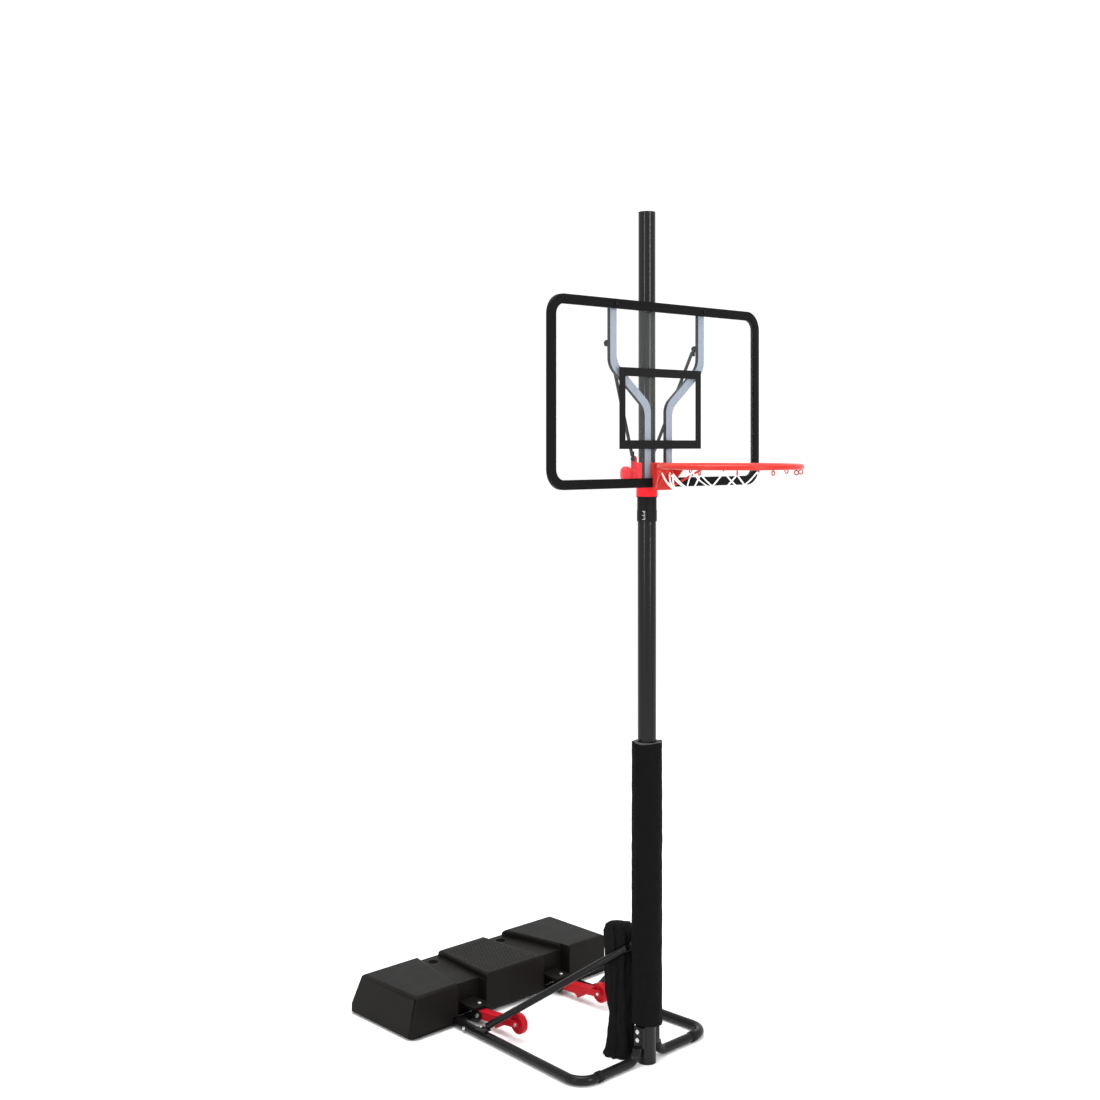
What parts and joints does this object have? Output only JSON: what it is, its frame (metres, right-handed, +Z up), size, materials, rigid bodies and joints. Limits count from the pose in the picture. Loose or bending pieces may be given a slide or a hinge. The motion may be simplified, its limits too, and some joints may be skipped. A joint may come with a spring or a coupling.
{
  "type": "portable basketball hoop",
  "caption": "Free-standing basketball hoop on a fillable base, with a padded pole, a height-adjustable clear backboard, a rim with a net and transport wheels.",
  "frame": {"origin": "on the pole's axis at floor level, at the middle of the pole's foot", "axes": "+Z up along the pole; -Y is the playing side, where the rim points; the tank lies at +Y; +X is to the right for a player who faces away from the board"},
  "size_m": [1.078, 1.6949, 2.985],
  "materials": {
    "tank_plastic": "fine-grained black blow-moulded polyethylene",
    "frame_paint": "satin black powder coat",
    "pole_paint": "semi-gloss black powder coat",
    "black_plastic": "matt black moulded plastic",
    "black_rubber": "matt",
    "zinc_steel": "bright zinc plate",
    "red_plastic": "satin moulded red plastic",
    "rim_paint": "gloss orange-red powder coat",
    "clear_sheet": "clear polycarbonate",
    "edge_black": "satin black",
    "target_print": "black screen print",
    "support_paint": "satin black, faced with a blue-grey strip",
    "pad_fabric": "black coated fabric",
    "foam": "closed-cell foam",
    "net_cord": "white braided cord"
  },
  "bodies": {
    "base": {"tank": "tank_plastic", "tank_bolts": "zinc_steel", "frame_front_left": "frame_paint", "frame_front_right": "frame_paint", "frame_side_left": "frame_paint", "frame_side_right": "frame_paint", "frame_rings": "black_rubber", "frame_end_caps": "black_plastic", "cross_tube": "frame_paint", "frame_side_bolts": "zinc_steel", "lower_pole": "pole_paint", "upper_pole": "pole_paint", "pole_sleeve": "black_plastic", "pole_top_cap": "black_plastic", "pole_foot_cap": "black_plastic", "foot_bolts": "zinc_steel", "foot_nuts": "zinc_steel", "strut_bracket": "frame_paint", "strut_left": "frame_paint", "strut_right": "frame_paint", "strut_pin": "zinc_steel", "strut_foot_bolts": "zinc_steel", "arm_lugs": "frame_paint", "arm_pins": "zinc_steel", "pad_foam": "foam", "pad_cover": "pad_fabric", "hanging_bag": "pad_fabric"},
    "carriage": {"housing": "red_plastic", "collar_ring": "black_rubber", "board_sheet": "clear_sheet", "board_edge": "edge_black", "target_square": "target_print", "support_left": "support_paint", "support_right": "support_paint", "support_bolts": "zinc_steel", "board_top_bolts": "black_plastic", "brace_left": "frame_paint", "brace_right": "frame_paint", "brace_pins": "zinc_steel", "rim_bracket": "rim_paint", "rim_bolts": "zinc_steel", "rim_ring": "rim_paint", "rim_braces": "rim_paint", "net_hooks": "rim_paint", "net": "net_cord"},
    "lock": {"lock_knob": "red_plastic", "lock_pin": "zinc_steel"},
    "arm_left": {"arm_left": "red_plastic", "axle_left": "zinc_steel"},
    "arm_right": {"arm_right": "red_plastic", "axle_right": "zinc_steel"},
    "wheel_left": {"wheel_left": "red_plastic"},
    "wheel_right": {"wheel_right": "red_plastic"},
    "filler_cap_left": {"filler_cap_left": "black_plastic"},
    "filler_cap_right": {"filler_cap_right": "black_plastic"}
  },
  "joints": [
    {"name": "height_slide", "type": "slide", "parent": "base", "child": "carriage", "axis": [0, 0, 1], "range_m": [0, 0.8]},
    {"name": "lock_pull", "type": "slide", "parent": "carriage", "child": "lock", "axis": [-0.866, 0.5, 0], "range_m": [0, 0.015], "stiffness_N_per_m": 800},
    {"name": "arm_left_swing", "type": "hinge", "parent": "base", "child": "arm_left", "pos_m": [-0.212, 0.64, 0.04], "axis": [1, 0, 0], "range_deg": [0, 7]},
    {"name": "arm_right_swing", "type": "hinge", "parent": "base", "child": "arm_right", "pos_m": [0.212, 0.64, 0.04], "axis": [1, 0, 0], "range_deg": [0, 7]},
    {"name": "wheel_left_spin", "type": "hinge", "parent": "arm_left", "child": "wheel_left", "pos_m": [-0.212, 0.435, 0.064], "axis": [1, 0, 0], "continuous": true},
    {"name": "wheel_right_spin", "type": "hinge", "parent": "arm_right", "child": "wheel_right", "pos_m": [0.212, 0.435, 0.064], "axis": [1, 0, 0], "continuous": true},
    {"name": "filler_cap_left_lift", "type": "slide", "parent": "base", "child": "filler_cap_left", "axis": [0, 0, 1], "range_m": [0, 0.04]},
    {"name": "filler_cap_right_lift", "type": "slide", "parent": "base", "child": "filler_cap_right", "axis": [0, 0, 1], "range_m": [0, 0.04]}
  ]
}
